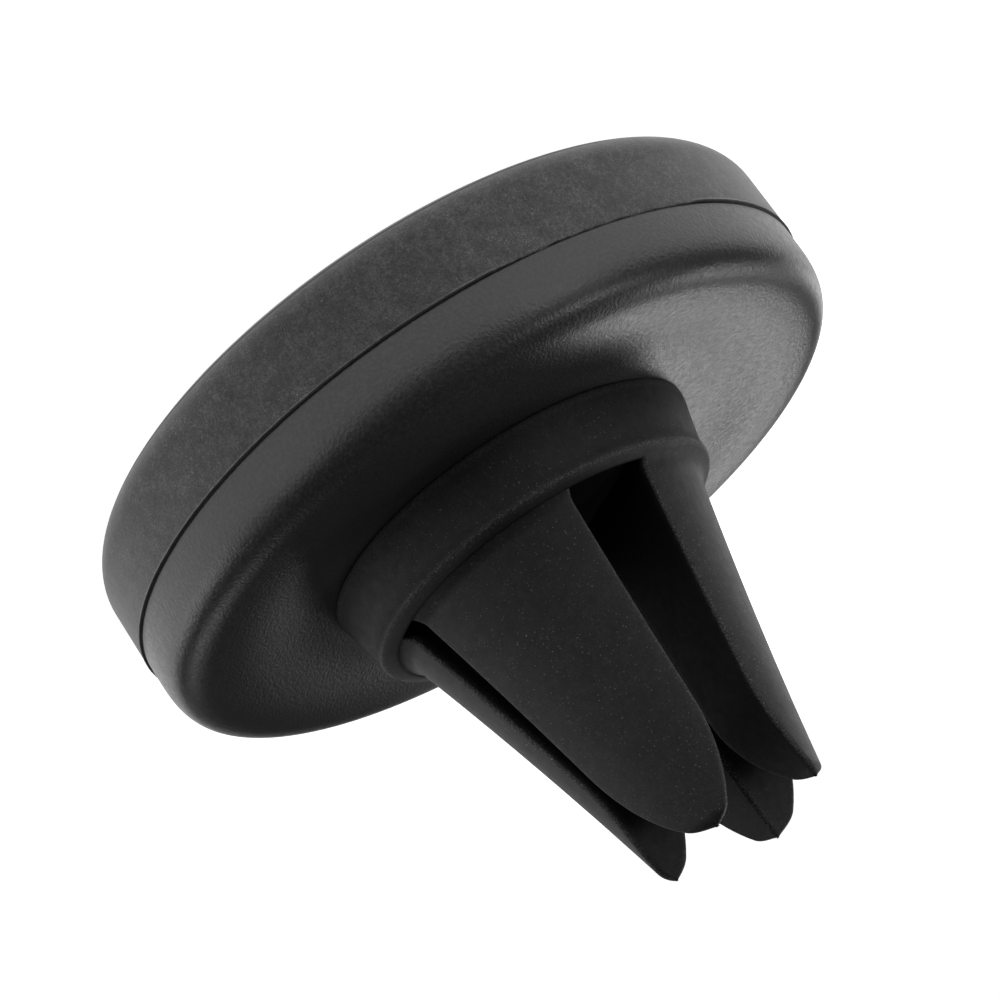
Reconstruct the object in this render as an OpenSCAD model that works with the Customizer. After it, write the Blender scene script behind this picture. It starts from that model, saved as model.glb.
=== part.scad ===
/* [Head] */
// Diameter of the magnetic head
head_d = 41; // [40.6:0.1:43]
// Height of the rubber face cap, from the phone side to the seam
cap_h = 5.4; // [5.2:0.1:5.6]
// Thickness of the rubber over the magnets
face_t = 1.0; // [0.8:0.1:1.0]
// Radius of the cap's front edge
front_round = 2.0; // [1.0:0.1:2.4]
// Gap at the seam between the cap and the rear housing
seam_gap = 0.12; // [0.08:0.02:0.16]
// Height of the rear face at the collar, from the phone side
rear_face_z = 9.2; // [9.2:0.1:9.6]

/* [Magnets] */
// Diameter of each disc magnet
magnet_d = 9; // [7:0.5:9]
// Height of each disc magnet
magnet_h = 2.45; // [2:0.05:2.45]
// Pitch circle of the magnets
magnet_pcd = 24.6; // [24:0.1:25]

/* [Clip] */
// Height of the prong tips, from the phone side
tip_z = 29.9; // [29:0.1:30.5]
// Radius of the prongs where they leave the collar
root_r = 9.2; // [9:0.05:9.2]
// Radius of the prongs near the tips
tip_r = 5.35; // [5.2:0.05:5.5]
// Inward bow of the prongs' outer faces
prong_bow = 0.5; // [0:0.05:0.6]
// Width of the wide blade slot at its root
wide_root = 4.66; // [4.4:0.02:4.8]
// Width of the wide blade slot where its mouth begins to open
wide_mouth = 3.2; // [3:0.1:3.6]
// Width of the narrow blade slot at its root
narrow_root = 1.74; // [1.6:0.02:2]
// Width of the narrow blade slot where its mouth begins to open
narrow_mouth = 0.82; // [0.6:0.02:1]
// Height where the wide slot's mouth begins to open
wide_flare_z = 24.1; // [23.6:0.1:24.6]
// Radius that opens the wide slot's mouth
wide_flare_r = 10.6; // [10:0.1:12]
// Height where the narrow slot's mouth begins to open
narrow_flare_z = 23.8; // [23.4:0.1:24.4]
// Radius that opens the narrow slot's mouth
narrow_flare_r = 8.3; // [8:0.1:9]
// Thickness of the rubber around each prong
rubber_t = 0.9; // [0.8:0.05:1]

/* [Collar] */
// Radius of the collar at the rear face
collar_root_r = 10.9; // [10.7:0.1:11.2]
// Radius of the collar at its lip
collar_lip_r = 10.25; // [10.1:0.05:10.4]
// Height of the collar's open end, from the phone side
collar_top_z = 12.65; // [12.6:0.05:12.7]
// Depth of the dish in the rear face that the collar's foot sits in
collar_seat_depth = 0.35; // [0.25:0.05:0.4]

/* [Hidden] */
$fn = 96;
eps = 0.01;
// Cutters start this far before a surface, and those that pass right through are this tall
over = 1;
through = 10;
head_r = head_d / 2;
prong_count = 4;
magnet_count = 6;

// Stack of the head, from the phone side
adhesive_t = 0.15;
adhesive_r = 17.5;
carrier_z = face_t + adhesive_t;
magnet_floor_t = 0.6;
magnet_z = carrier_z + magnet_floor_t;
magnet_room = 2.5;
yoke_z = magnet_z + magnet_room;
yoke_t = 0.8;
yoke_bore_r = 4.5;
pocket_r = 6.6;
housing_z = cap_h + seam_gap;
housing_floor_t = 1.4;
housing_floor_z = rear_face_z - housing_floor_t;
collar_seat_z = rear_face_z - collar_seat_depth;

// Radial fits of the head
cap_wall_t = 1.4;
cap_inner_r = head_r - cap_wall_t;
slip = 0.05;
carrier_r = cap_inner_r - slip;
bead_z = 4.2;
bead_h = 0.6;
bead_depth = 0.35;
register_r = carrier_r - 0.5;
register_inner_r = register_r - 0.85;
register_h = 0.6;
housing_inner_r = register_r + 0.1;
yoke_r = register_inner_r - 0.1;

// Screws that close the head
screw_count = 3;
screw_ring_r = 15.6;
screw_start = 30;
screw_head_r = 1.85;
screw_head_h = 1.1;
screw_r = 1.0;
screw_tip_z = 7.5;
screw_seat_z = 2.5;
boss_r = 1.95;
boss_z = yoke_z + yoke_t + 0.05;
pilot_squeeze = 0.1;

// Clip fixing
spigot_r = 4.0;
key_w = 2.2;
key_reach = 5.6;
clip_screw_r = 1.5;
clip_screw_head_r = 2.7;
clip_screw_head_h = 1.1;
washer_r = 6.4;
washer_t = 0.5;
washer_z = housing_floor_z - washer_t - 0.02;
clip_screw_tip_z = 10.9;
hub_r = 8.6;
hub_top_z = 11.5;
hub_flange_r = 9.3;
hub_flange_z = rear_face_z + 0.15;
hub_flange_h = 0.8;

// Prongs: each turns about a knuckle that lies in a seat of the hub
prong_az = 50;
knuckle_ring_r = 6.6;
knuckle_z = 11.2;
knuckle_r = 1.2;
knuckle_w = 3.2;
knuckle_slip = 0.05;
neck_t = 1.8;
root_z = 12.4;
form_length = 15;
sleeve_z = 11.8;
core_tip_z = 27.6;
collar_floor_r = root_r + 0.25;
collar_floor_z = 11.95;
window_gap = 0.2;

// Points of an arc, from angle a0 to a1, about (cx, cy)
function arc(cx, cy, r, a0, a1, n) =
    [for (i = [0 : n]) let (a = a0 + (a1 - a0) * i / n) [cx + r * cos(a), cy + r * sin(a)]];

// Outer radius of the prongs at a height
function prong_r(z) =
    let (s = (z - root_z) / form_length)
    root_r + (tip_r - root_r) * s - prong_bow * s * (1 - s);

// Azimuth of a prong: the four are mirror images across both slots
function azimuth(i) = i == 1 ? prong_az : i == 2 ? 180 - prong_az : i == 3 ? 180 + prong_az : -prong_az;

module ring_of(count, r, start = 0) {
    for (i = [0 : count - 1])
        rotate(start + i * 360 / count)
            translate([r, 0, 0])
                children();
}

module cross_recess(size, depth) {
    for (a = [0, 90])
        rotate(a)
            translate([-size / 2, -size / 8, -eps])
                cube([size, size / 4, depth + eps]);
}

module face_cap() {
    color([0.16, 0.16, 0.16])
    rotate_extrude()
        polygon(concat(
            [[0, 0]],
            arc(head_r - front_round, front_round, front_round, -90, 0, 12),
            [
                [head_r, cap_h],
                [cap_inner_r, cap_h],
                [cap_inner_r, bead_z + bead_h],
                [cap_inner_r - bead_depth, bead_z + bead_h - 0.15],
                [cap_inner_r - bead_depth, bead_z + 0.15],
                [cap_inner_r, bead_z],
                [cap_inner_r, face_t],
                [0, face_t]
            ]));
}

module face_adhesive() {
    color([0.75, 0.72, 0.62])
    translate([0, 0, face_t])
        cylinder(r = adhesive_r, h = adhesive_t);
}

module magnet_carrier() {
    color([0.2, 0.2, 0.21])
    difference() {
        rotate_extrude()
            polygon([
                [0, carrier_z],
                [carrier_r - 0.3, carrier_z],
                [carrier_r, carrier_z + 0.3],
                [carrier_r, bead_z - 0.05],
                [carrier_r - bead_depth - 0.05, bead_z + 0.1],
                [carrier_r - bead_depth - 0.05, bead_z + bead_h - 0.1],
                [carrier_r, bead_z + bead_h + 0.05],
                [carrier_r, housing_z - 0.02],
                [register_r, housing_z - 0.02],
                [register_r, housing_z + register_h],
                [register_inner_r, housing_z + register_h],
                [register_inner_r, yoke_z],
                [0, yoke_z]
            ]);
        ring_of(magnet_count, magnet_pcd / 2)
            translate([0, 0, magnet_z])
                cylinder(d = magnet_d + 0.1, h = through);
        ring_of(screw_count, screw_ring_r, screw_start) {
            translate([0, 0, carrier_z - over])
                cylinder(r = screw_head_r + 0.15, h = screw_seat_z - carrier_z + over);
            translate([0, 0, carrier_z])
                cylinder(r = screw_r + 0.15, h = through);
        }
        // Lightening pocket in the middle
        translate([0, 0, magnet_z])
            cylinder(r = pocket_r, h = through);
    }
}

module magnet(i) {
    edge = 0.2;
    r = magnet_d / 2;
    color([0.78, 0.78, 0.8])
    rotate((i - 1) * 360 / magnet_count)
        translate([magnet_pcd / 2, 0, magnet_z])
            rotate_extrude()
                polygon([
                    [0, 0], [r - edge, 0], [r, edge],
                    [r, magnet_h - edge], [r - edge, magnet_h], [0, magnet_h]
                ]);
}

module yoke_plate() {
    color([0.6, 0.61, 0.63])
    translate([0, 0, yoke_z])
        difference() {
            cylinder(r = yoke_r, h = yoke_t);
            translate([0, 0, -over])
                cylinder(r = yoke_bore_r, h = through);
            ring_of(screw_count, screw_ring_r, screw_start)
                translate([0, 0, -over])
                    cylinder(r = screw_r + 0.25, h = through);
        }
}

module carrier_screws() {
    color([0.65, 0.65, 0.67])
    ring_of(screw_count, screw_ring_r, screw_start)
        difference() {
            rotate_extrude()
                polygon([
                    [0, screw_seat_z - screw_head_h],
                    [screw_head_r - 0.4, screw_seat_z - screw_head_h],
                    [screw_head_r, screw_seat_z - screw_head_h + 0.4],
                    [screw_head_r, screw_seat_z],
                    [screw_r, screw_seat_z],
                    [screw_r, screw_tip_z - 0.8],
                    [0.3, screw_tip_z],
                    [0, screw_tip_z]
                ]);
            translate([0, 0, screw_seat_z - screw_head_h])
                cross_recess(2.2, 0.7);
        }
}

// Outline of the rear housing: a wall that tapers to a soft shoulder, and a rear face that is dished down to the
// collar's foot, around the raised seat of the hub
module housing_outline() {
    wall_r = head_r - 0.1;
    polygon(concat(
        [
            [0, housing_floor_z],
            [housing_inner_r, housing_floor_z],
            [housing_inner_r, housing_z],
            [wall_r - 0.15, housing_z],
            [wall_r, housing_z + 0.15],
            [wall_r, housing_z + 0.9],
            [wall_r - 0.08, housing_z + 1.8],
            [wall_r - 0.26, housing_z + 2.6]
        ],
        arc(wall_r - 1.35, rear_face_z - 0.9, 1.05, 8, 80, 9),
        [
            [head_r - 2.6, rear_face_z + 0.14],
            [head_r - 4.5, rear_face_z + 0.1],
            [head_r - 6.5, rear_face_z - 0.06],
            [collar_root_r + 1.6, collar_seat_z + 0.14],
            [collar_root_r + 0.8, collar_seat_z + 0.07],
            [collar_root_r + 0.3, collar_seat_z],
            [hub_r, collar_seat_z],
            [hub_r, rear_face_z],
            [0, rear_face_z]
        ]));
}

module rear_housing() {
    rib_t = 1.0;
    rib_h = 0.8;
    hub_ring_r = 7.8;
    color([0.2, 0.2, 0.2])
    difference() {
        union() {
            rotate_extrude()
                housing_outline();
            ring_of(screw_count, screw_ring_r, screw_start)
                translate([0, 0, boss_z])
                    cylinder(r = boss_r, h = housing_floor_z - boss_z + eps);
            // Stiffening ribs on the inside of the rear wall
            for (i = [0 : 5])
                rotate(i * 60)
                    translate([hub_ring_r, -rib_t / 2, housing_floor_z - rib_h])
                        cube([housing_inner_r - hub_ring_r - 0.8, rib_t, rib_h + eps]);
        }
        ring_of(screw_count, screw_ring_r, screw_start)
            translate([0, 0, boss_z - over])
                cylinder(r = screw_r - pilot_squeeze, h = screw_tip_z - boss_z + over + 0.3);
        // Keyed hole for the hub's spigot
        translate([0, 0, housing_floor_z - over])
            cylinder(r = spigot_r + slip, h = through);
        translate([-key_reach - slip, -key_w / 2 - slip, housing_floor_z - over])
            cube([2 * (key_reach + slip), key_w + 2 * slip, through]);
    }
}

// A knuckle's axis, as a place to put children: X runs outward, Y along the axis
module at_knuckle(az) {
    rotate(az)
        translate([knuckle_ring_r, 0, knuckle_z])
            children();
}

module clip_hub() {
    color([0.19, 0.19, 0.2])
    difference() {
        union() {
            rotate_extrude()
                polygon([
                    [0, rear_face_z],
                    [hub_r, rear_face_z],
                    [hub_r, hub_flange_z],
                    [hub_flange_r, hub_flange_z],
                    [hub_flange_r, hub_flange_z + hub_flange_h],
                    [hub_r, hub_flange_z + hub_flange_h + 0.2],
                    [hub_r, hub_top_z - 0.3],
                    [hub_r - 0.3, hub_top_z],
                    [0, hub_top_z]
                ]);
            translate([0, 0, housing_floor_z + 0.05])
                cylinder(r = spigot_r, h = housing_floor_t);
            translate([-key_reach, -key_w / 2, housing_floor_z + 0.05])
                cube([2 * key_reach, key_w, housing_floor_t]);
        }
        translate([0, 0, housing_floor_z - over])
            cylinder(r = clip_screw_r - pilot_squeeze, h = clip_screw_tip_z - housing_floor_z + over + 0.2);
        for (i = [1 : prong_count])
            at_knuckle(azimuth(i))
                rotate([90, 0, 0])
                    cylinder(r = knuckle_r + knuckle_slip, h = knuckle_w + 0.3, center = true);
    }
}

module clip_screw() {
    seat_z = washer_z;
    color([0.65, 0.65, 0.67])
    difference() {
        rotate_extrude()
            polygon([
                [0, seat_z - clip_screw_head_h],
                [clip_screw_head_r - 0.5, seat_z - clip_screw_head_h],
                [clip_screw_head_r, seat_z - clip_screw_head_h + 0.5],
                [clip_screw_head_r, seat_z],
                [clip_screw_r, seat_z],
                [clip_screw_r, clip_screw_tip_z - 0.5],
                [clip_screw_r - 0.5, clip_screw_tip_z],
                [0, clip_screw_tip_z]
            ]);
        translate([0, 0, seat_z - clip_screw_head_h])
            cross_recess(3.2, 0.8);
    }
}

module clip_washer() {
    color([0.6, 0.61, 0.63])
    translate([0, 0, washer_z])
        difference() {
            cylinder(r = washer_r, h = washer_t);
            translate([0, 0, -over])
                cylinder(r = clip_screw_r + 0.15, h = through);
        }
}

// Rubber boot around the clip's root: a ring that tapers from the rear face to a rounded lip,
// with a floor between the prongs
module rubber_collar() {
    lip_round = 0.25;
    lip_z = collar_top_z - 0.25 - lip_round;
    color([0.15, 0.15, 0.15])
    difference() {
        rotate_extrude()
            polygon(concat(
                [
                    [hub_r + slip, collar_seat_z],
                    [collar_root_r, collar_seat_z],
                    [collar_root_r - 0.1, collar_seat_z + 0.4],
                    [collar_lip_r - 0.02, lip_z - 0.7]
                ],
                arc(collar_lip_r - lip_round, lip_z, lip_round, 0, 75, 8),
                [
                    [collar_floor_r, collar_top_z],
                    [collar_floor_r, collar_floor_z],
                    [0, collar_floor_z],
                    [0, hub_top_z + 0.02],
                    [hub_r + slip, hub_top_z + 0.02],
                    [hub_r + slip, hub_flange_z + hub_flange_h + 0.3],
                    [hub_flange_r + slip, hub_flange_z + hub_flange_h + 0.1],
                    [hub_flange_r + slip, hub_flange_z - slip],
                    [hub_r + slip, hub_flange_z - slip]
                ]));
        // One window for each prong
        for (i = [1 : prong_count])
            in_quadrant(i)
                prong_form(hub_top_z - over, collar_top_z + over, -window_gap);
    }
}

// One side of a blade slot, as an area of radius and height that a prong keeps out of.
// inset moves the wall into the prong, for the rubber's thickness.
module slot_half(root_w, mouth_w, flare_z, flare_r, inset) {
    lean = atan((root_w - mouth_w) / 2 / (flare_z - root_z));
    wall_root = root_w / 2 + inset;
    wall_mouth = mouth_w / 2 + inset;
    below = 6;
    above = 0.5;
    beyond = -20;
    r = flare_r - inset;
    cx = wall_mouth + r * cos(lean);
    cz = flare_z + r * sin(lean);
    open_angle = asin(min(0.97, (tip_z + above - cz) / r));
    polygon(concat(
        [
            [beyond, root_z - below],
            [wall_root + below * tan(lean), root_z - below]
        ],
        arc(cx, cz, r, 180 + lean, 180 - open_angle, 12),
        [
            [cx, tip_z + above + 0.5],
            [cx, tip_z + 3],
            [beyond, tip_z + 3]
        ]));
}

// Body of one prong in the quadrant +X +Y, moved in by inset on every side
module prong_form(z0, z1, inset) {
    steps = 6;
    long = 60;
    difference() {
        rotate_extrude()
            polygon(concat(
                [[0, z0]],
                [for (i = [0 : steps]) let (z = z0 + (z1 - z0) * i / steps) [prong_r(z) - inset, z]],
                [[0, z1]]));
        // Wide slot, along X
        rotate([90, 0, 90])
            linear_extrude(height = long, center = true)
                slot_half(wide_root, wide_mouth, wide_flare_z, wide_flare_r, inset);
        // Narrow slot, along Y
        rotate([90, 0, 180])
            linear_extrude(height = long, center = true)
                mirror([1, 0])
                    slot_half(narrow_root, narrow_mouth, narrow_flare_z, narrow_flare_r, inset);
    }
}

// A prong's mirror image in its own quadrant
module in_quadrant(i) {
    mirror([i == 2 || i == 3 ? 1 : 0, 0, 0])
        mirror([0, i == 3 || i == 4 ? 1 : 0, 0])
            children();
}

module prong(i) {
    color([0.22, 0.22, 0.23])
    in_quadrant(i)
        union() {
            prong_form(sleeve_z + 0.1, core_tip_z, rubber_t);
            at_knuckle(prong_az) {
                rotate([90, 0, 0])
                    cylinder(r = knuckle_r, h = knuckle_w, center = true);
                translate([-neck_t / 2, -knuckle_w / 2, 0])
                    cube([neck_t, knuckle_w, sleeve_z + 0.2 - knuckle_z]);
            }
        }
}

module prong_sleeve(i) {
    pocket_slip = 0.02;
    color([0.14, 0.14, 0.14])
    in_quadrant(i)
        difference() {
            prong_form(sleeve_z, tip_z, 0);
            prong_form(sleeve_z - over, core_tip_z + pocket_slip, rubber_t - pocket_slip);
        }
}

face_cap();
face_adhesive();
magnet_carrier();
magnet(1);  // magnet_1
magnet(2);  // magnet_2
magnet(3);  // magnet_3
magnet(4);  // magnet_4
magnet(5);  // magnet_5
magnet(6);  // magnet_6
yoke_plate();
carrier_screws();
rear_housing();
clip_hub();
clip_screw();
clip_washer();
rubber_collar();
prong(1);  // prong_1
prong(2);  // prong_2
prong(3);  // prong_3
prong(4);  // prong_4
prong_sleeve(1);  // prong_sleeve_1
prong_sleeve(2);  // prong_sleeve_2
prong_sleeve(3);  // prong_sleeve_3
prong_sleeve(4);  // prong_sleeve_4
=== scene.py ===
"""Visual model of a magnetic car phone mount with an air-vent clip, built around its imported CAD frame.

Z runs along the head's axis, from the phone side to the prong tips, X along the wide blade slot and Y along
the narrow one. Shapes are written in millimetres and scaled to metres as they are made.
"""

import math
import random

import bmesh
import bpy
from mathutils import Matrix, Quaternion, Vector


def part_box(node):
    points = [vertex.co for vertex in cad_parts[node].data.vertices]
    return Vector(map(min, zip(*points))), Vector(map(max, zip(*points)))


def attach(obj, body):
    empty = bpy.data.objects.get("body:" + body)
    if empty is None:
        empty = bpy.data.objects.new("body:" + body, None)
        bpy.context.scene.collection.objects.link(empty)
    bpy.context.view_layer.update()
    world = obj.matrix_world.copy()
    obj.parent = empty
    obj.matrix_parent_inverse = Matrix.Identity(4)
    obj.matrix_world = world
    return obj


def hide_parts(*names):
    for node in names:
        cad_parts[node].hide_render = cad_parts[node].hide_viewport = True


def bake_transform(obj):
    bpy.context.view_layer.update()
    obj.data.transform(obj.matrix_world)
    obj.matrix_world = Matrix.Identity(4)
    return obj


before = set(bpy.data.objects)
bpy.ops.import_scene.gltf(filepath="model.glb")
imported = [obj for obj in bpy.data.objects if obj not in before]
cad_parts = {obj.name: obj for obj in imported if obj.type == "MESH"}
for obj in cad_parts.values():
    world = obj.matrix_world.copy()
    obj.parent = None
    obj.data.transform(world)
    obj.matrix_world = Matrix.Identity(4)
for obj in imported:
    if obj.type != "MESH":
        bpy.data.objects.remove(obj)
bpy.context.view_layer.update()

# ---------------------------------------------------------------- driving dimensions, in millimetres

MM = 0.001


def low(node):
    """Lowest corner of a CAD node, in millimetres."""
    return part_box(node)[0] / MM


def high(node):
    """Highest corner of a CAD node, in millimetres."""
    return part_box(node)[1] / MM


HEAD_R = high("face_cap").x
SEAM_Z = high("face_cap").z
CARRIER_R = high("magnet_carrier").x
HOUSING_R = high("rear_housing").x
BOSS_Z = low("rear_housing").z
COLLAR_R = high("rubber_collar").x
SEAT_Z = low("rubber_collar").z
COLLAR_TOP = high("rubber_collar").z
HUB_R = high("clip_hub").x
HUB_TOP = high("clip_hub").z
SLEEVE_Z = low("prong_sleeve_1").z
TIP_Z = high("prong_sleeve_1").z
CORE_TIP = high("prong_1").z
SCREW_TIP = high("carrier_screws").z

# The cap, which snaps over the carrier on a bead
FACE_T = 1.0
FRONT_ROUND = 2.0
SLIP = 0.05
BEAD_Z = 4.2
BEAD_H = 0.6
BEAD_DEPTH = 0.35

# The housing: a belly, a bulging shoulder, a low crest, and a dish down to a groove round the collar's foot
SEAT_DEPTH = 0.35
REAR_Z = SEAT_Z + SEAT_DEPTH
HOUSING_Z = SEAM_Z + 0.05
HOUSING_INNER_R = 18.65
HOUSING_EDGE = 0.14
FLOOR_T = 1.4
FLOOR_Z = REAR_Z - FLOOR_T
BELLY_Z = 6.3
SHOULDER_POWER = 3.4
CREST_RISE = 0.15
CREST_R = 17.5
DISH_R = 11.9
DISH_FALL = 0.34
GROOVE_R = 11.15
SCREW_RING_R = 15.6
SCREW_ANGLES = (30, 150, 270)
BOSS_R = 1.95
PILOT_R = 0.9
KEY_HALF = 1.15
KEY_REACH = 5.65
SPIGOT_HOLE_R = 4.05
RIB_COUNT = 6
RIB_START = 7.8
RIB_END = HOUSING_INNER_R - 0.8
RIB_HALF = 0.5
RIB_H = 0.8

# The collar, which hooks over the hub's flange and carries the web that the prongs come through
HUB_STEP = 0.7
HUB_WALL_R = HUB_R - HUB_STEP
FLANGE_Z = REAR_Z + 0.15
FOOT_R = 10.87
FOOT_ROUND = 0.1
LIP_R = 10.25
LIP_ROUND = 0.25
LIP_DROP = 0.25
WEB_Z = 11.95
WEB_R = 9.3
WINDOW_GAP = 0.08

# The prongs: their outside narrows from the root to near the tip, and both slots flare open at the mouth
ROOT_FORM_Z = 12.4
FORM_LENGTH = 15.0
ROOT_R = 9.19
NEAR_TIP_R = 5.37
BOW = 0.49
WIDE_ROOT = 2.33
WIDE_MOUTH = 1.6
WIDE_FLARE_Z = 24.1
WIDE_FLARE_R = 10.6
NARROW_ROOT = 0.87
NARROW_MOUTH = 0.41
NARROW_FLARE_Z = 23.8
NARROW_FLARE_R = 8.3
TIP_ROUND = 0.78
TIP_WALL = 2.4
EDGE_ROUND = 0.22
RUBBER_T = 0.88
POCKET_ROUND = 0.1
FILLET_R = 0.8
FILLET_TURN = 65
FILLET_Z = 12.52
FILLET_SKIRT = 0.25

# How the moulding differs from its drawing: all prongs lean a little to -Y, and one is longer
LEAN = 1.75
SIDE_SET = 0.2
LONG_PRONG = 3
EXTRA_LENGTH = 0.45
EXTRA_FROM_Z = 18.0

# How finely the round shapes are cut
CAP_SEGMENTS = 720
HOUSING_SEGMENTS = 288
COLLAR_SEGMENTS = 240
SHOULDER_STEPS = 44
DISH_STEPS = 14
COLLAR_STEPS = 8
FILLET_STEPS = 10
PRONG_STEPS = 46
TIP_STEPS = 30
POCKET_STEPS = 16

# ---------------------------------------------------------------- mesh code

SHARP_ANGLE = 32


def smooth(value):
    """Smoothstep of a value, held between 0 and 1."""
    t = min(max(value, 0.0), 1.0)
    return t * t * (3 - 2 * t)


def fade(distance, start, end):
    """1 up to a start distance, falling softly to 0 at an end distance."""
    return smooth((end - distance) / (end - start))


def arc(cx, cy, radius, start, end, steps):
    """Points of an arc about (cx, cy), from one angle in degrees to another."""
    points = []
    for i in range(steps + 1):
        a = math.radians(start + (end - start) * i / steps)
        points.append((cx + radius * math.cos(a), cy + radius * math.sin(a)))
    return points


def line(start, end, steps):
    """Points of a straight stretch, without its last one."""
    return [
        (start[0] + (end[0] - start[0]) * i / steps, start[1] + (end[1] - start[1]) * i / steps)
        for i in range(steps)
    ]


def middle(points):
    """Mean of some (x, y, z) points."""
    return tuple(sum(p[i] for p in points) / len(points) for i in range(3))


def lathe(profile, segments, wobble=None):
    """A profile of (radius, height) points turned about Z, closed across the axis or on itself.

    wobble(radius, height, angle) moves a point by (dr, dz), for edges that aren't perfectly even."""
    vertices = []
    rings = []
    for r, z in profile:
        if r < 1e-6:
            rings.append([len(vertices)])
            vertices.append((0.0, 0.0, z))
            continue
        ring = []
        for k in range(segments):
            a = 2 * math.pi * k / segments
            dr, dz = wobble(r, z, a) if wobble else (0.0, 0.0)
            ring.append(len(vertices))
            vertices.append(((r + dr) * math.cos(a), (r + dr) * math.sin(a), z + dz))
        rings.append(ring)
    pairs = list(zip(rings, rings[1:]))
    if len(rings[0]) > 1 and len(rings[-1]) > 1:
        pairs.append((rings[-1], rings[0]))
    faces = []
    for lower, upper in pairs:
        faces.extend(band(lower, upper))
    return vertices, faces


def band(lower, upper):
    """Faces between two rings of vertices, where either may be a single point."""
    count = max(len(lower), len(upper))
    faces = []
    for k in range(count):
        n = (k + 1) % count
        if len(lower) == 1:
            faces.append((lower[0], upper[n], upper[k]))
        elif len(upper) == 1:
            faces.append((lower[k], lower[n], upper[0]))
        else:
            faces.append((lower[k], lower[n], upper[n], upper[k]))
    return faces


def loft(sections):
    """Sections, each a list of (x, y, z) points of the same count or a single point, joined in order."""
    vertices = []
    rings = []
    for section in sections:
        rings.append(list(range(len(vertices), len(vertices) + len(section))))
        vertices.extend(section)
    faces = []
    for lower, upper in zip(rings, rings[1:]):
        faces.extend(band(lower, upper))
    return vertices, faces


def piece(name, vertices, faces, sharp=SHARP_ANGLE):
    """A mesh object from millimetre vertices, with outward normals and edges over an angle kept crisp."""
    mesh = bpy.data.meshes.new(name)
    mesh.from_pydata([Vector(v) * MM for v in vertices], [], faces)
    tidy(mesh)
    finish_shading(mesh, sharp)
    obj = bpy.data.objects.new(name, mesh)
    bpy.context.scene.collection.objects.link(obj)
    return obj


def tidy(mesh):
    """Merges doubled vertices and turns all normals outward."""
    bm = bmesh.new()
    bm.from_mesh(mesh)
    bmesh.ops.remove_doubles(bm, verts=bm.verts, dist=0.001 * MM)
    bmesh.ops.dissolve_degenerate(bm, edges=bm.edges, dist=0.0005 * MM)
    bmesh.ops.recalc_face_normals(bm, faces=bm.faces)
    if bm.calc_volume(signed=True) < 0:
        bmesh.ops.reverse_faces(bm, faces=bm.faces)
    bm.to_mesh(mesh)
    bm.free()


def mark(obj, name, rule):
    """Stores rule(x, y, z), from millimetres, as a number on every vertex, for the materials."""
    layer = obj.data.attributes.new(name, "FLOAT", "POINT")
    for vertex, slot in zip(obj.data.vertices, layer.data):
        slot.value = rule(*(vertex.co / MM))


def finish_shading(mesh, sharp):
    """Smooth shading, broken at edges sharper than an angle in degrees."""
    mesh.shade_smooth()
    mesh.set_sharp_from_angle(angle=math.radians(sharp))


def cut(obj, tools, operation):
    """Joins or cuts an object with tools by exact booleans, applied to its mesh. The tools are used up."""
    for tool in tools:
        modifier = obj.modifiers.new("cut", "BOOLEAN")
        modifier.object = tool
        modifier.operation = operation
        modifier.solver = "EXACT"
    bpy.context.view_layer.update()
    result = bpy.data.meshes.new_from_object(obj.evaluated_get(bpy.context.evaluated_depsgraph_get()))
    obj.modifiers.clear()
    obj.data = result
    for tool in tools:
        bpy.data.objects.remove(tool)
    tidy(obj.data)
    finish_shading(obj.data, SHARP_ANGLE)


def block(name, x0, x1, y0, y1, z0, z1, turn=0):
    """A cutting or adding block, turned about Z by an angle in degrees."""
    c = math.cos(math.radians(turn))
    s = math.sin(math.radians(turn))
    corners = [(x0, y0), (x1, y0), (x1, y1), (x0, y1)]
    ring = [(x * c - y * s, x * s + y * c) for x, y in corners]
    vertices = [(x, y, z) for z in (z0, z1) for x, y in ring]
    faces = band([0, 1, 2, 3], [4, 5, 6, 7]) + [(3, 2, 1, 0), (4, 5, 6, 7)]
    return piece(name, vertices, faces)


def post(name, x, y, radius, z0, z1, segments=48):
    """A round post or hole tool."""
    vertices, faces = lathe([(0, z0), (radius, z0), (radius, z1), (0, z1)], segments)
    return piece(name, [(x + vx, y + vy, z) for vx, vy, z in vertices], faces)


# ---------------------------------------------------------------- the head

# The moulding flash along the cap's lip. It closes the seam on one side, where the cosine of the angle from
# CLOSED_AZIMUTH is above CLOSED_FROM
FLASH_SEED = 11
FLASH_WAVES = (3, 7, 13, 41, 67, 97, 139, 181, 233)
FLASH_REACH = 0.035
FLASH_HEIGHT = 0.07
CLOSED_AZIMUTH = -2
CLOSED_FROM = 0.94
CLOSED_FADE = 0.04

# How much the edges and tips are lifted, from 0 to 1, in the marks that the rubber reads: the cap's lip by
# worn dust, the collar's foot by dust and a painted highlight, and the prong tips by more dust and less
# painted shade on the slot walls
LIP_WEAR = 0.35
FOOT_WEAR_AND_HIGHLIGHT = 0.6
TIP_DUST_AND_LIGHT = 0.7
TIP_DUST_AND_LIGHT_Z = 24.0
TIP_DUST_AND_LIGHT_FADE = 6.0


def flash_pattern():
    """A rule for the thin moulding flash on the cap's lip, made of a few seeded waves.

    At an angle it gives how far the flash stands out, in millimetres, and how much of it lies against the
    housing: none on most of the seam, and between 0 and 2 on the side where the seam is closed."""
    dice = random.Random(FLASH_SEED)
    waves = [(n, dice.uniform(0, 2 * math.pi), dice.uniform(0.3, 1.0)) for n in FLASH_WAVES]
    total = sum(weight for _, _, weight in waves)
    closed_side = math.radians(CLOSED_AZIMUTH)

    def flash(angle):
        ripple = sum(weight * math.sin(n * angle + phase) for n, phase, weight in waves) / total
        closed = smooth((math.cos(angle - closed_side) - CLOSED_FROM) / CLOSED_FADE)
        return FLASH_REACH * ripple, closed * (1 + ripple)

    return flash


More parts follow.
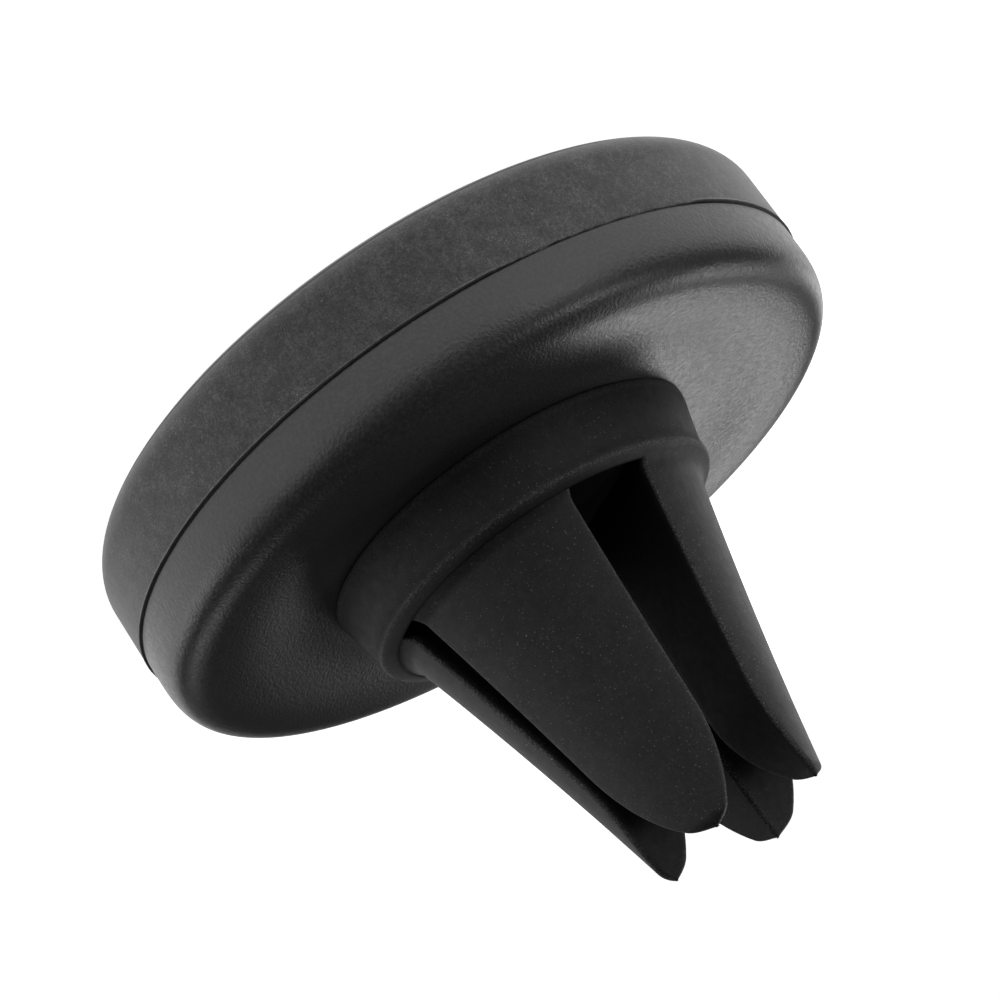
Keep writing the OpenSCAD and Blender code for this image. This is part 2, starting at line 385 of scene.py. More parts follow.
def cap_profile():
    """Outside from the middle of the face to the lip, then back inside past the bead."""
    inner_r = CARRIER_R + SLIP
    bead_r = inner_r - BEAD_DEPTH
    bead_top = BEAD_Z + BEAD_H
    lip = [
        (HEAD_R, SEAM_Z - 0.16),
        (HEAD_R - 0.005, SEAM_Z - 0.1),
        (HEAD_R + 0.015, SEAM_Z - 0.05),
        (HEAD_R + 0.03, SEAM_Z - 0.015),
        (HEAD_R - 0.01, SEAM_Z + 0.005),
        (HEAD_R - 0.08, SEAM_Z - 0.02),
        (HEAD_R - 0.3, SEAM_Z - 0.01),
        (inner_r + 0.15, SEAM_Z - 0.01),
        (inner_r, SEAM_Z - 0.15),
    ]
    bead = [
        (inner_r, bead_top),
        (bead_r + 0.05, bead_top - 0.12),
        (bead_r, bead_top - 0.2),
        (bead_r, BEAD_Z + 0.2),
        (bead_r + 0.05, BEAD_Z + 0.12),
        (inner_r, BEAD_Z),
    ]
    return (
        line((0, 0), (HEAD_R - FRONT_ROUND, 0), 6)
        + arc(HEAD_R - FRONT_ROUND, FRONT_ROUND, FRONT_ROUND, -90, 0, 18)
        + line((HEAD_R, FRONT_ROUND + 0.4), (HEAD_R, SEAM_Z - 0.22), 4)
        + lip
        + bead
        + [(inner_r, FACE_T + 0.25), (inner_r - 0.25, FACE_T), (0, FACE_T)]
    )


def make_cap():
    """The rubber face cap: a shallow cup with a round front edge and a thin flash along its lip."""
    flash = flash_pattern()

    def wobble(r, z, angle):
        near_edge = 1 - min(abs(z - SEAM_Z) / FLASH_HEIGHT, 1)
        if r < HEAD_R - 0.1 or near_edge <= 0:
            return 0.0, 0.0
        out, closed = flash(angle)
        return near_edge * (0.6 * out - 0.09 * closed), near_edge * (0.8 * out + 0.12 * closed)

    # 1 on the outer faces, 0 inside the cup, where the rubber paints shade and puts no dust
    def dusty_and_unshaded(x, y, z):
        return 1.0 if math.hypot(x, y) > HEAD_R - 0.5 or z < FACE_T / 2 else 0.0

    def wear_and_highlight(x, y, z):
        on_rim = math.hypot(x, y) > HEAD_R - 0.2
        return LIP_WEAR * fade(abs(z - SEAM_Z), 0.03, 0.18) if on_rim else 0.0

    cap = piece("face_cap_rubber", *lathe(cap_profile(), CAP_SEGMENTS, wobble))
    mark(cap, "open", dusty_and_unshaded)
    mark(cap, "wear_and_highlight", wear_and_highlight)
    return cap


def housing_profile():
    """Inside of the floor and the rim, then outside from the rim over the shoulder and dish to the axis."""
    crest_z = REAR_Z + CREST_RISE
    rim_round = 0.3
    shoulder = []
    for i in range(1, SHOULDER_STEPS + 1):
        a = math.radians(90 * i / SHOULDER_STEPS)
        shoulder.append((
            CREST_R + (HOUSING_R - CREST_R) * math.cos(a) ** (2 / SHOULDER_POWER),
            BELLY_Z + (crest_z - BELLY_Z) * math.sin(a) ** (2 / SHOULDER_POWER),
        ))
    dish = []
    for i in range(1, DISH_STEPS + 1):
        r = CREST_R + (DISH_R - CREST_R) * i / DISH_STEPS
        rise = (CREST_RISE + DISH_FALL) * smooth((r - DISH_R) / (CREST_R - DISH_R))
        dish.append((r, REAR_Z - DISH_FALL + rise))
    groove = []
    for i in range(1, DISH_STEPS + 1):
        r = DISH_R + (GROOVE_R - DISH_R) * i / DISH_STEPS
        rise = (SEAT_DEPTH - DISH_FALL) * smooth((r - GROOVE_R) / (DISH_R - GROOVE_R))
        groove.append((r, SEAT_Z + rise))
    return (
        [(0, FLOOR_Z), (HOUSING_INNER_R - rim_round, FLOOR_Z)]
        + arc(HOUSING_INNER_R - rim_round, FLOOR_Z - rim_round, rim_round, 90, 0, 4)
        + [(HOUSING_INNER_R, HOUSING_Z + 0.1), (HOUSING_INNER_R + 0.1, HOUSING_Z)]
        + arc(HOUSING_R - HOUSING_EDGE, HOUSING_Z + HOUSING_EDGE, HOUSING_EDGE, -90, 0, 6)
        + [(HOUSING_R, BELLY_Z)]
        + shoulder
        + dish
        + groove
        + [(10.0, SEAT_Z), (HUB_WALL_R, SEAT_Z), (HUB_WALL_R, REAR_Z), (6.0, REAR_Z), (0, REAR_Z)]
    )


def make_housing():
    """The rear shell, with screw bosses and ribs inside and the keyed hole for the clip."""
    shell = piece("rear_housing_shell", *lathe(housing_profile(), HOUSING_SEGMENTS))
    overlap = 0.3
    added = []
    for k in range(RIB_COUNT):
        turn = 360 * k / RIB_COUNT
        low_z = FLOOR_Z - RIB_H
        added.append(block("rib", RIB_START, RIB_END, -RIB_HALF, RIB_HALF, low_z, FLOOR_Z + overlap, turn))
    holes = []
    for angle in SCREW_ANGLES:
        x = SCREW_RING_R * math.cos(math.radians(angle))
        y = SCREW_RING_R * math.sin(math.radians(angle))
        added.append(post("boss", x, y, BOSS_R, BOSS_Z, FLOOR_Z + overlap))
        holes.append(post("pilot", x, y, PILOT_R, BOSS_Z - 1, SCREW_TIP + overlap, 32))
    below = FLOOR_Z - 2
    above = REAR_Z + 1
    holes.append(post("spigot_hole", 0, 0, SPIGOT_HOLE_R, below, above, 96))
    holes.append(block("key_hole", -KEY_REACH, KEY_REACH, -KEY_HALF, KEY_HALF, below, above))
    cut(shell, added, "UNION")
    cut(shell, holes, "DIFFERENCE")
    return shell


# ---------------------------------------------------------------- the clip


def sides(number):
    """Signs of X and Y in a prong's quadrant. The prongs are numbered round the axis from +X +Y."""
    return (-1 if number in (2, 3) else 1), (-1 if number in (3, 4) else 1)


def prong_radius(z):
    """Outer radius of the prongs at a height."""
    s = (z - ROOT_FORM_Z) / FORM_LENGTH
    return ROOT_R + (NEAR_TIP_R - ROOT_R) * s - BOW * s * (1 - s)


def slot_wall(z, inset, root, mouth, flare_z, flare_r):
    """Distance of a slot's wall from the slot's middle plane: it leans to the mouth, then opens on an arc."""
    lean = math.atan((root - mouth) / (flare_z - ROOT_FORM_Z))
    radius = flare_r - inset
    centre_x = mouth + inset + radius * math.cos(lean)
    centre_z = flare_z + radius * math.sin(lean)
    if z <= flare_z:
        return mouth + inset + (flare_z - z) * math.tan(lean)
    return centre_x - math.sqrt(radius**2 - (z - centre_z) ** 2)


def narrow_wall(z, inset):
    return slot_wall(z, inset, NARROW_ROOT, NARROW_MOUTH, NARROW_FLARE_Z, NARROW_FLARE_R)


def wide_wall(z, inset):
    return slot_wall(z, inset, WIDE_ROOT, WIDE_MOUTH, WIDE_FLARE_Z, WIDE_FLARE_R)


def prong_room(z, inset=0.0):
    """How much solid a prong has at a height, from its inner corner out, less what the inset takes."""
    return prong_radius(z) - math.hypot(narrow_wall(z, 0), wide_wall(z, 0)) - TIP_WALL * inset


def prong_section(z, inset, corner, flare=0.0):
    """One level of a prong in the quadrant +X +Y: two slot walls and the round outside, with rounded corners.

    flare moves only the round outside outward."""
    corner = min(corner, 0.3 * max(prong_room(z, inset), 0.1))
    x = narrow_wall(z, inset) + corner
    y = wide_wall(z, inset) + corner
    r = prong_radius(z) - inset - corner + flare
    bx = math.sqrt(r * r - y * y)
    cy = math.sqrt(r * r - x * x)
    b_angle = math.degrees(math.atan2(y, bx))
    c_angle = math.degrees(math.atan2(cy, x))
    outline = (
        line((x, y - corner), (bx, y - corner), 14)
        + arc(bx, y, corner, -90, b_angle, 7)
        + arc(0, 0, r + corner, b_angle, c_angle, 26)[1:-1]
        + arc(x, cy, corner, c_angle, 180, 7)
        + line((x - corner, cy), (x - corner, y), 12)[1:]
        + arc(x, y, corner, 180, 270, 7)[:-1]
    )
    return [(px, py, z) for px, py in outline]


def sleeve_tip(corner):
    """Levels of the rounded tip, up to where nothing is left between the walls."""
    levels = []
    for i in range(1, TIP_STEPS + 1):
        a = math.radians(90 * i / TIP_STEPS)
        z = TIP_Z - TIP_ROUND * (1 - math.sin(a))
        inset = TIP_ROUND * (1 - math.cos(a))
        if prong_room(z, inset) < 0.1:
            break
        levels.append(prong_section(z, inset, corner))
    x, y, z = middle(levels[-1])
    levels.append([(x, y, min(z + 0.01, TIP_Z))])
    return levels


def sleeve_levels():
    """Outer levels of a prong's rubber, from its foot in the collar's window to its tip."""
    corner = EDGE_ROUND
    sections = [prong_section(z, 0, corner) for z in (SLEEVE_Z, WEB_Z + 0.05, WEB_Z + 0.25, FILLET_Z - 0.2)]
    flat = math.radians(FILLET_TURN)
    skirt_flare = FILLET_R * (1 - math.cos(flat)) + FILLET_SKIRT
    fillet = [(FILLET_Z - FILLET_SKIRT * math.tan(math.pi / 2 - flat), skirt_flare)]
    for i in range(FILLET_STEPS + 1):
        a = flat * (1 - i / FILLET_STEPS)
        fillet.append((FILLET_Z + FILLET_R * (math.sin(flat) - math.sin(a)), FILLET_R * (1 - math.cos(a))))
    sections += [prong_section(z, 0, corner, flare) for z, flare in fillet]
    start = fillet[-1][0] + 0.25
    end = TIP_Z - TIP_ROUND
    for i in range(PRONG_STEPS + 1):
        sections.append(prong_section(start + (end - start) * i / PRONG_STEPS, 0, corner))
    return sections + sleeve_tip(corner)


def sleeve_pocket():
    """Levels of the pocket that the prong's plastic core fills."""
    top = CORE_TIP + 0.02
    sections = [
        prong_section(top - (top - SLEEVE_Z) * i / POCKET_STEPS, RUBBER_T, POCKET_ROUND)
        for i in range(POCKET_STEPS + 1)
    ]
    return [[middle(sections[0])]] + sections


def make_sleeve(number):
    """The rubber of one prong. The four are mirror images across both slots, before they lean.

    The pocket stays straight, as the core inside it does."""
    side_x, side_y = sides(number)
    pocket = sleeve_pocket()
    vertices, faces = loft(pocket + sleeve_levels())
    inner = sum(len(level) for level in pocket)
    slope = math.tan(math.radians(LEAN))
    stretch = EXTRA_LENGTH / (TIP_Z - EXTRA_FROM_Z) if number == LONG_PRONG else 0
    placed = []
    for i, (x, y, z) in enumerate(vertices):
        if i < inner:
            placed.append((side_x * x, side_y * y, z))
            continue
        shift = SIDE_SET + slope * max(z - WEB_Z, 0)
        placed.append((side_x * x, side_y * y - shift, z + stretch * max(z - EXTRA_FROM_Z, 0)))
    sleeve = piece(f"prong_rubber_{number}", placed, faces, 50)

    def gaps(x, y, z):
        """Distances of a point from the narrow wall, the wide wall, the outer face and the tip."""
        z -= stretch * max(z - EXTRA_FROM_Z, 0)
        y += SIDE_SET + slope * max(z - WEB_Z, 0)
        z = min(z, TIP_Z)
        return [
            abs(x) - narrow_wall(z, 0),
            abs(y) - wide_wall(z, 0),
            prong_radius(z) - math.hypot(x, y),
            TIP_Z - z,
        ]

    # 1 on the outer face and 0 on the slot walls, which get painted shade and no dust; towards the tips the
    # walls get less painted shade and more dust
    def dusty_and_unshaded(x, y, z):
        outside = fade(gaps(x, y, z)[2], 0.0, 0.5)
        return max(outside, TIP_DUST_AND_LIGHT * smooth((z - TIP_DUST_AND_LIGHT_Z) / TIP_DUST_AND_LIGHT_FADE))

    def wear_and_highlight(x, y, z):
        """An edge is where two of the faces are near. Edges come out lighter: worn and dusty, with a painted
        highlight.
        """
        return fade(sorted(gaps(x, y, z))[1], 0.06, 0.36)

    mark(sleeve, "open", dusty_and_unshaded)
    mark(sleeve, "wear_and_highlight", wear_and_highlight)
    return sleeve


def collar_profile():
    """Outside from the foot over the lip to the web, then inside round the hub and under its flange."""
    lip_z = COLLAR_TOP - LIP_DROP - LIP_ROUND
    wall_start = SEAT_Z + 0.3
    wall_end = lip_z - 0.5
    hollow = 0.1
    wall = []
    for i in range(COLLAR_STEPS + 1):
        s = i / COLLAR_STEPS
        r = FOOT_R + (LIP_R - 0.03 - FOOT_R) * s - hollow * s * (1 - s)
        wall.append((r, wall_start + (wall_end - wall_start) * s))
    hub_wall = HUB_WALL_R + SLIP
    flange_wall = HUB_R + SLIP
    return (
        [(hub_wall, SEAT_Z)]
        + arc(COLLAR_R - FOOT_ROUND, SEAT_Z + FOOT_ROUND, FOOT_ROUND, -90, 20, 5)
        + wall
        + [(LIP_R - 0.005, lip_z - 0.2)]
        + arc(LIP_R - LIP_ROUND, lip_z, LIP_ROUND, 0, 72, 9)
        + [(9.7, COLLAR_TOP - 0.12), (9.5, COLLAR_TOP - 0.06), (WEB_R + 0.05, COLLAR_TOP - 0.02)]
        + [(WEB_R, COLLAR_TOP - 0.06), (WEB_R, WEB_Z + 0.4), (WEB_R, WEB_Z), (6.0, WEB_Z), (0, WEB_Z)]
        + [
            (0, HUB_TOP + 0.02),
            (hub_wall, HUB_TOP + 0.02),
            (hub_wall, FLANGE_Z + 1.1),
            (flange_wall, FLANGE_Z + 0.9),
            (flange_wall, FLANGE_Z - SLIP),
            (hub_wall, FLANGE_Z - SLIP),
        ]
    )


def make_collar():
    """The rubber boot around the clip's root, with one window in its floor for each prong."""
    collar = piece("rubber_boot", *lathe(collar_profile(), COLLAR_SEGMENTS))
    windows = []
    for number in range(1, 5):
        side_x, side_y = sides(number)
        sections = [prong_section(z, -WINDOW_GAP, 0.3) for z in (HUB_TOP - 1, WEB_Z + 1)]
        vertices, faces = loft(sections)
        placed = [(side_x * x, side_y * y - SIDE_SET, z) for x, y, z in vertices]
        count = len(sections[0])
        faces += [tuple(range(count)), tuple(range(count, 2 * count))]
        windows.append(piece("window", placed, faces))
    cut(collar, windows, "DIFFERENCE")
    crest_r = LIP_R - 0.4 * LIP_ROUND
    crest_z = COLLAR_TOP - LIP_DROP - 0.4 * LIP_ROUND
    foot_z = SEAT_Z + 0.25

    # 1 outside, 0 in the mouth and on the web, which get painted shade and no dust
    def dusty_and_unshaded(x, y, z):
        return smooth((math.hypot(x, y) - WEB_R) / 0.3)

    # A painted highlight along the lip's crest; along the foot's edge a lighter line, partly dust and partly
    # painted highlight
    def wear_and_highlight(x, y, z):
        r = math.hypot(x, y)
        crest = fade(math.hypot(r - crest_r, z - crest_z), 0.04, 0.24)
        foot = FOOT_WEAR_AND_HIGHLIGHT * fade(abs(z - foot_z), 0.036, 0.156) if r > FOOT_R - 0.4 else 0.0
        return max(crest, foot)

    mark(collar, "open", dusty_and_unshaded)
    mark(collar, "wear_and_highlight", wear_and_highlight)
    return collar


# ---------------------------------------------------------------- CAD nodes that stay


def soften(node, width):
    """Small rounded edges and even shading on a CAD node that stays."""
    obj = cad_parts[node]
    normals = obj.data.attributes.get("custom_normal")
    if normals:
        obj.data.attributes.remove(normals)
    obj.data.shade_smooth()
    weld = obj.modifiers.new("weld", "WELD")
    weld.merge_threshold = 0.0005 * MM
    bevel = obj.modifiers.new("bevel", "BEVEL")
    bevel.width = width * MM
    bevel.segments = 2
    bevel.limit_method = "ANGLE"
    bevel.angle_limit = math.radians(35)
    bevel.use_clamp_overlap = True
    normal = obj.modifiers.new("normals", "WEIGHTED_NORMAL")
    normal.keep_sharp = True
    return obj


# ---------------------------------------------------------------- materials


class Shader:
    """A material and its node tree, with short calls for the nodes used here. Sizes are in millimetres."""

    def __init__(self, name):
        self.material = bpy.data.materials.new(name)
        self.material.use_nodes = True
        self.tree = self.material.node_tree
        self.surface = self.tree.nodes["Principled BSDF"]
        self.place = self.add("ShaderNodeTexCoord").outputs["Object"]

    def add(self, kind, **settings):
        """A new node, with some of its settings changed."""
        node = self.tree.nodes.new(kind)
        for key, value in settings.items():
            setattr(node, key, value)
        return node

    def feed(self, socket, value):
        """Sets a socket to a plain value, or links it to another node's output."""
        if isinstance(value, bpy.types.NodeSocket):
            self.tree.links.new(value, socket)
        else:
            socket.default_value = value

    def stretched(self, x, y, z):
        """Object coordinates scaled along each axis, so that a pattern on them comes out long or short."""
        node = self.add("ShaderNodeMapping")
        self.feed(node.inputs["Vector"], self.place)
        node.inputs["Scale"].default_value = (x, y, z)
        return node.outputs["Vector"]

    def noise(self, size, detail=2.0, roughness=0.5, place=None, distortion=0.0):
        """Cloudy noise about as large as size."""
        node = self.add("ShaderNodeTexNoise")
        self.feed(node.inputs["Vector"], place or self.place)
        node.inputs["Scale"].default_value = 1 / (size * MM)
        node.inputs["Detail"].default_value = detail
        node.inputs["Roughness"].default_value = roughness
        node.inputs["Distortion"].default_value = distortion
        return node.outputs["Fac"]

    def cells(self, size):
        """Distance in a cell pattern, and one random number for each cell."""
        node = self.add("ShaderNodeTexVoronoi", feature="F1")
        self.feed(node.inputs["Vector"], self.place)
        node.inputs["Scale"].default_value = 1 / (size * MM)
        split = self.add("ShaderNodeSeparateColor")
        self.feed(split.inputs[0], node.outputs["Color"])
        return node.outputs["Distance"], split.outputs[0]

    def spread(self, value, start, end, low_value=0.0, high_value=1.0):
        """A value spread from between start and end to between two others, with soft ends."""
        node = self.add("ShaderNodeMapRange", interpolation_type="SMOOTHSTEP")
        self.feed(node.inputs["Value"], value)
        node.inputs["From Min"].default_value = start
        node.inputs["From Max"].default_value = end
        node.inputs["To Min"].default_value = low_value
        node.inputs["To Max"].default_value = high_value
        return node.outputs["Result"]

    def stored(self, name):
        """A number stored on the mesh by mark()."""
        return self.add("ShaderNodeAttribute", attribute_name=name).outputs["Fac"]

    def calculate(self, operation, a, b):
        """The result of one operation on two numbers."""
        node = self.add("ShaderNodeMath", operation=operation)
        self.feed(node.inputs[0], a)
        self.feed(node.inputs[1], b)
        return node.outputs[0]

    def product(self, first, *others):
        """Numbers multiplied together."""
        result = first
        for other in others:
            result = self.calculate("MULTIPLY", result, other)
        return result

    def total(self, a, b):
        """Two numbers added."""
        return self.calculate("ADD", a, b)

    def blend(self, factor, a, b):
        """Colour between a and b. The colour sockets are taken by place, because their names repeat."""
        node = self.add("ShaderNodeMix", data_type="RGBA")
        self.feed(node.inputs["Factor"], factor)
        self.feed(node.inputs[6], a)
        self.feed(node.inputs[7], b)
        return node.outputs[2]

    def specks(self, size, radius, share):
        """Round specks: one in a share of the cells, 1 inside and 0 outside."""
        distance, chance = self.cells(size)
        spot = self.spread(distance, radius / size * 0.6, radius / size, 1.0, 0.0)
        chosen = self.spread(chance, 1 - share, 1 - share + 0.02)
        return self.product(spot, chosen)

    def bump(self, height, depth, under=None):
        """Raises the surface by up to depth millimetres where height is 1."""
        node = self.add("ShaderNodeBump")
        node.inputs["Strength"].default_value = 1.0
        node.inputs["Distance"].default_value = depth * MM
        self.feed(node.inputs["Height"], height)
        if under:
            self.feed(node.inputs["Normal"], under)
        return node.outputs["Normal"]

    def set(self, **values):
        """Sets or links the surface's sockets, by names with _ for a space."""
        for key, value in values.items():
            self.feed(self.surface.inputs[key.replace("_", " ")], value)


def grey(level, warmth=0.0):
    """A neutral colour, slightly warm or cool."""
    return (level * (1 + warmth), level, level * (1 - warmth), 1.0)


def rubber(name, base, sheen):
    """Matte silicone rubber: a cloudy tone with a fine skin and light dust, lighter on worn edges, where a
    painted highlight is added too.

    The inner faces carry painted shade: their colour is darkened and their reflection and sheen weakened, and
    they get no dust."""
    s = Shader(name)
    dusty_and_unshaded = s.stored("open")
    wear_and_highlight = s.stored("wear_and_highlight")
    level = s.product(
        base,
        s.spread(s.noise(6.0, 3, 0.6), 0.3, 0.7, 0.85, 1.15),
        s.spread(s.noise(0.9, 3, 0.6), 0.3, 0.7, 0.72, 1.32),
        s.spread(s.noise(0.25, 2, 0.6), 0.3, 0.7, 0.68, 1.4),
        s.spread(s.noise(0.09, 2, 0.6), 0.3, 0.7, 0.45, 1.8),
        # Painted shade: colour on the inner faces darkened to 0.35 of the outer faces'
        s.spread(dusty_and_unshaded, 0.0, 1.0, 0.35, 1.0),
        # Lighter edges, up to twice as light: worn and dusty, with a painted highlight
        s.spread(wear_and_highlight, 0.0, 1.0, 1.0, 2.0),
    )
    patches = s.spread(s.noise(4.0, 3, 0.6), 0.4, 0.65, 0.3, 1.0)
    fine_dust = s.specks(0.17, 0.04, 0.4)
    coarse_dust = s.specks(0.55, 0.055, 0.25)
    edge_dust = s.product(s.spread(s.noise(0.08, 2, 0.6), 0.48, 0.66), wear_and_highlight)
    dust = s.total(s.product(fine_dust, 0.4), s.product(coarse_dust, 0.6))
    dust = s.total(s.product(dust, patches, dusty_and_unshaded), s.product(edge_dust, 0.3))
    level = s.total(level, s.product(dust, 0.25))
    normal = s.bump(s.noise(0.12, 3, 0.6), 0.012)
    normal = s.bump(dust, 0.02, normal)
    normal = s.bump(s.noise(1.6, 2, 0.5), 0.01, normal)
    s.set(Base_Color=level, Roughness=s.spread(s.noise(0.5, 3, 0.6), 0.2, 0.8, 0.57, 0.69), Normal=normal)
    # Painted shade as well: weaker reflection and sheen on the inner faces
    s.set(IOR=1.45, Specular_IOR_Level=s.spread(dusty_and_unshaded, 0.0, 1.0, 0.15, 0.5))
    s.set(Sheen_Roughness=0.45, Sheen_Weight=s.spread(dusty_and_unshaded, 0.0, 1.0, 0.02, sheen))
    return s.material


def grained_plastic(name, base, roughness, depth):
    """Satin moulded plastic with a fine spark-eroded grain."""
    s = Shader(name)
    cloud = s.spread(s.noise(9.0, 2, 0.5), 0.3, 0.7)
    tone = s.blend(cloud, grey(base * 0.9), grey(base * 1.1))
    pits = s.noise(0.17, 2, 0.55)
    fine = s.noise(0.08, 2, 0.5)
    tone = s.blend(s.spread(pits, 0.4, 0.72), tone, grey(base * 1.5))
    dust = s.specks(1.5, 0.05, 0.25)
    tone = s.blend(s.product(dust, 0.4), tone, grey(0.2))
    normal = s.bump(s.spread(pits, 0.25, 0.75), depth)
    normal = s.bump(fine, depth * 0.35, normal)
    gloss = s.spread(s.noise(0.3, 2, 0.5), 0.25, 0.75, roughness - 0.05, roughness + 0.05)
    s.set(Base_Color=tone, Roughness=gloss, Normal=normal, IOR=1.5)
    return s.material


def moulded_plastic(name, base, fibres):
    """Plain moulded engineering plastic: faint flow marks, and short fibres if it is filled."""
    s = Shader(name)
    flow = s.noise(2.4, 3, 0.6, s.stretched(1, 1, 0.35), 0.8)
    tone = s.blend(s.spread(flow, 0.35, 0.65), grey(base * 0.85, -0.01), grey(base * 1.2, -0.01))
    streaks = s.noise(0.12, 2, 0.5, s.stretched(1, 0.25, 1))
    tone = s.blend(s.product(s.spread(streaks, 0.62, 0.75), fibres), tone, grey(base * 3))
    normal = s.bump(s.noise(0.16, 3, 0.55), 0.006)
    s.set(Base_Color=tone, Roughness=s.spread(flow, 0.3, 0.7, 0.4, 0.52), Normal=normal)
    return s.material


def plated_metal(name, colour, roughness, scratch, spangle):
    """Plated steel: brushed or tumbled scratches and soft patches in the plating."""
    s = Shader(name)
    patches = s.spread(s.noise(spangle, 3, 0.6), 0.3, 0.7)
    dark = tuple(c * 0.82 for c in colour[:3]) + (1.0,)
    tone = s.blend(patches, dark, colour)
    lines = s.noise(0.08, 3, 0.6, s.stretched(1, 0.06, 1))
    cross = s.noise(0.1, 3, 0.6, s.stretched(0.06, 1, 1))
    normal = s.bump(s.product(lines, cross), scratch)
    polish = s.spread(patches, 0.0, 1.0, roughness + 0.08, roughness)
    s.set(Base_Color=tone, Metallic=1.0, Roughness=polish, Normal=normal)
    return s.material


def adhesive_film(name):
    """Clear yellow acrylic film, with faint bubbles."""
    s = Shader(name)
    bubbles = s.specks(1.1, 0.22, 0.3)
    tone = s.blend(s.spread(s.noise(3.0, 3, 0.6), 0.3, 0.7), (0.62, 0.55, 0.38, 1.0), (0.72, 0.67, 0.52, 1.0))
    tone = s.blend(s.product(bubbles, 0.5), tone, (0.85, 0.82, 0.72, 1.0))
    gloss = s.spread(s.noise(0.6, 2, 0.5), 0.3, 0.7, 0.18, 0.32)
    s.set(Base_Color=tone, Roughness=gloss, Normal=s.bump(bubbles, 0.02), Coat_Weight=0.3)
    return s.material


def table_material():
    """Matte white table, lit evenly from below like a light table."""
    s = Shader("table_white")
    tone = s.blend(s.noise(60.0, 2, 0.5), grey(0.8), grey(0.84))
    s.set(Base_Color=tone, Roughness=0.9)
    s.set(Emission_Color=(1.0, 1.0, 1.0, 1.0), Emission_Strength=TABLE_GLOW)
    return s.material


# ---------------------------------------------------------------- studio

TABLE_GLOW = 0.97
TABLE_SIZE = 3000
TABLE_STEPS = 8
TABLE_DROP = 0.02
WORLD_LEVEL = 0.02
OBJECT_MIDDLE_Z = 9.0

# Each panel: name, azimuth in degrees, then distance from the axis, height, side and brightness
PANELS = [
    ("back_low", 212, 110, 16, 36, 0.3),
    ("back_mid", 222, 110, 57, 34, 4.1),
    ("back_side_low", 252, 110, 16, 36, 2.2),
    ("back_high", 252, 110, 100, 36, 4.4),
    ("side_back_high", 272, 110, 100, 36, 4.4),
    ("side_high", 332, 110, 100, 36, 7.0),
    ("side_low", 352, 110, 16, 36, 2.3),
    ("front_low", 72, 110, 16, 36, 1.5),
    ("left_low", 112, 110, 16, 36, 2.3),
    ("left_back_low", 132, 110, 16, 36, 1.6),
    ("left_high", 172, 110, 100, 36, 1.0),
    ("left_far", 168, 500, 334, 200, 1.3),
]

CAMERA_AIM = (-0.751, -0.253, 7.587)
CAMERA_AZIMUTH = 32.007
CAMERA_ELEVATION = 19.911
CAMERA_ROLL = 145.38
CAMERA_DISTANCE = 150.48
CAMERA_LENS = 101.647


def direction(azimuth, elevation):
    """Unit vector from azimuth about Z, measured from +X, and elevation, in degrees."""
    a = math.radians(azimuth)
    e = math.radians(elevation)
    return Vector((math.cos(e) * math.cos(a), math.cos(e) * math.sin(a), math.sin(e)))


def add_camera():
    """The camera, aimed at a point in the head and rolled so that the clip points down and to the right."""
    data = bpy.data.cameras.new("camera")
    data.sensor_width = 36
    data.lens = CAMERA_LENS
    data.clip_start = 0.005
    data.clip_end = 20
    camera = bpy.data.objects.new("camera", data)
    back = direction(CAMERA_AZIMUTH, CAMERA_ELEVATION)
    camera.location = (Vector(CAMERA_AIM) + back * CAMERA_DISTANCE) * MM
    turn = back.to_track_quat("Z", "Y") @ Quaternion((0, 0, 1), math.radians(CAMERA_ROLL))
    camera.rotation_mode = "QUATERNION"
    camera.rotation_quaternion = turn
    bpy.context.scene.collection.objects.link(camera)
    bpy.context.scene.camera = camera


def add_table():
    """A plain white table just under the phone side."""
    count = TABLE_STEPS + 1
    places = [TABLE_SIZE * (i / TABLE_STEPS - 0.5) for i in range(count)]
    vertices = [(x, y, -TABLE_DROP) for y in places for x in places]
    faces = []
    for row in range(TABLE_STEPS):
        for column in range(TABLE_STEPS):
            corner = row * count + column
            faces.append((corner, corner + 1, corner + count + 1, corner + count))
    table = piece("table", vertices, faces)
    table.data.materials.append(table_material())


def add_panel(name, azimuth, distance, height, size, brightness):
    """A soft square panel, turned to face the object and never seen itself."""
    data = bpy.data.lights.new(name, "AREA")
    data.shape = "SQUARE"
    data.size = size * MM
    data.energy = math.pi * (size * MM) ** 2 * brightness
    light = bpy.data.objects.new(name, data)
    place = direction(azimuth, 0) * distance + Vector((0, 0, height))
    back = place - Vector((0, 0, OBJECT_MIDDLE_Z))
    light.location = place * MM
    light.rotation_mode = "QUATERNION"
    light.rotation_quaternion = back.to_track_quat("Z", "Y")
    light.visible_camera = False
    bpy.context.scene.collection.objects.link(light)


def add_world(level):
    """A faint even light from all round."""
    world = bpy.data.worlds.new("studio")
    world.use_nodes = True
    background = world.node_tree.nodes["Background"]
    background.inputs["Color"].default_value = (1.0, 1.0, 1.0, 1.0)
    background.inputs["Strength"].default_value = level
    bpy.context.scene.world = world


# ---------------------------------------------------------------- putting it together


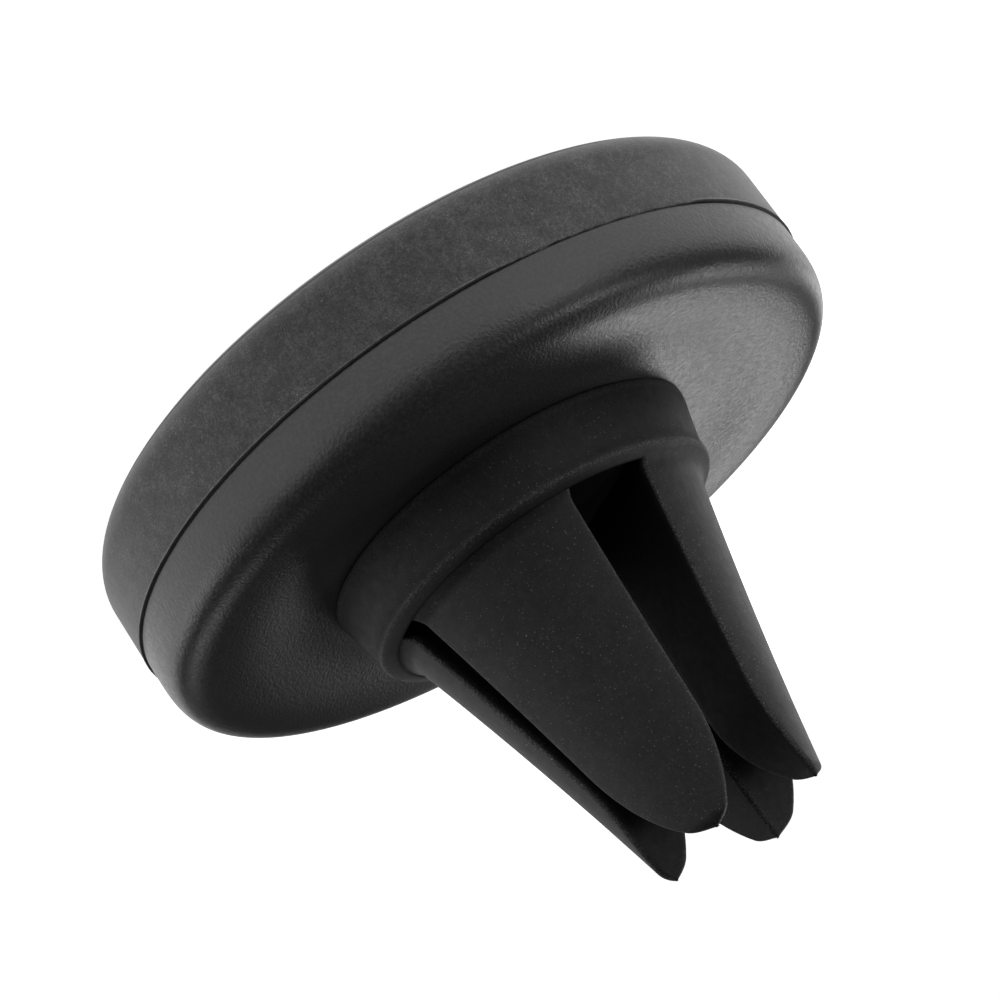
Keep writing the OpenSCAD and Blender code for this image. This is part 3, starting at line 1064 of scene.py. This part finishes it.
def paint(obj, material):
    """Gives an object one material."""
    obj.data.materials.clear()
    obj.data.materials.append(material)


def stand_for(obj, node, body, material):
    """A finished piece that stands for a CAD node on its body."""
    paint(obj, material)
    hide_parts(node)
    if body:
        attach(obj, body)


def build():
    """Every piece of the mount: the seen shells, the rubber of the prongs, and the CAD nodes that stay."""
    cap_rubber = rubber("cap_rubber", 0.028, 0.35)
    clip_rubber = rubber("clip_rubber", 0.006, 0.07)
    housing_plastic = grained_plastic("housing_plastic", 0.025, 0.37, 0.010)
    stand_for(make_cap(), "face_cap", "head", cap_rubber)
    stand_for(make_housing(), "rear_housing", "head", housing_plastic)
    stand_for(make_collar(), "rubber_collar", "head", clip_rubber)
    for number in range(1, 5):
        sleeve = make_sleeve(number)
        stand_for(sleeve, f"prong_sleeve_{number}", None, clip_rubber)
        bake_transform(sleeve)

    inner_plastic = moulded_plastic("inner_plastic", 0.05, 0.0)
    clip_plastic = moulded_plastic("clip_plastic", 0.045, 0.5)
    nickel = plated_metal("nickel_plate", (0.74, 0.72, 0.68, 1.0), 0.18, 0.002, 1.5)
    zinc = plated_metal("zinc_plate", (0.58, 0.6, 0.63, 1.0), 0.32, 0.004, 2.5)
    screw_zinc = plated_metal("screw_zinc", (0.52, 0.53, 0.55, 1.0), 0.28, 0.003, 0.8)
    paint(soften("face_adhesive", 0.03), adhesive_film("adhesive_film"))
    paint(soften("magnet_carrier", 0.08), inner_plastic)
    paint(soften("yoke_plate", 0.08), zinc)
    paint(soften("clip_washer", 0.06), zinc)
    paint(soften("carrier_screws", 0.05), screw_zinc)
    paint(soften("clip_screw", 0.06), screw_zinc)
    paint(soften("clip_hub", 0.1), clip_plastic)
    for number in range(1, 7):
        paint(soften(f"magnet_{number}", 0.05), nickel)
    for number in range(1, 5):
        paint(soften(f"prong_{number}", 0.12), clip_plastic)


def light_studio():
    """Camera, table and lights."""
    add_camera()
    add_table()
    add_world(WORLD_LEVEL)
    for panel in PANELS:
        add_panel(*panel)
    bpy.context.scene.view_settings.view_transform = "Standard"


build()
light_studio()
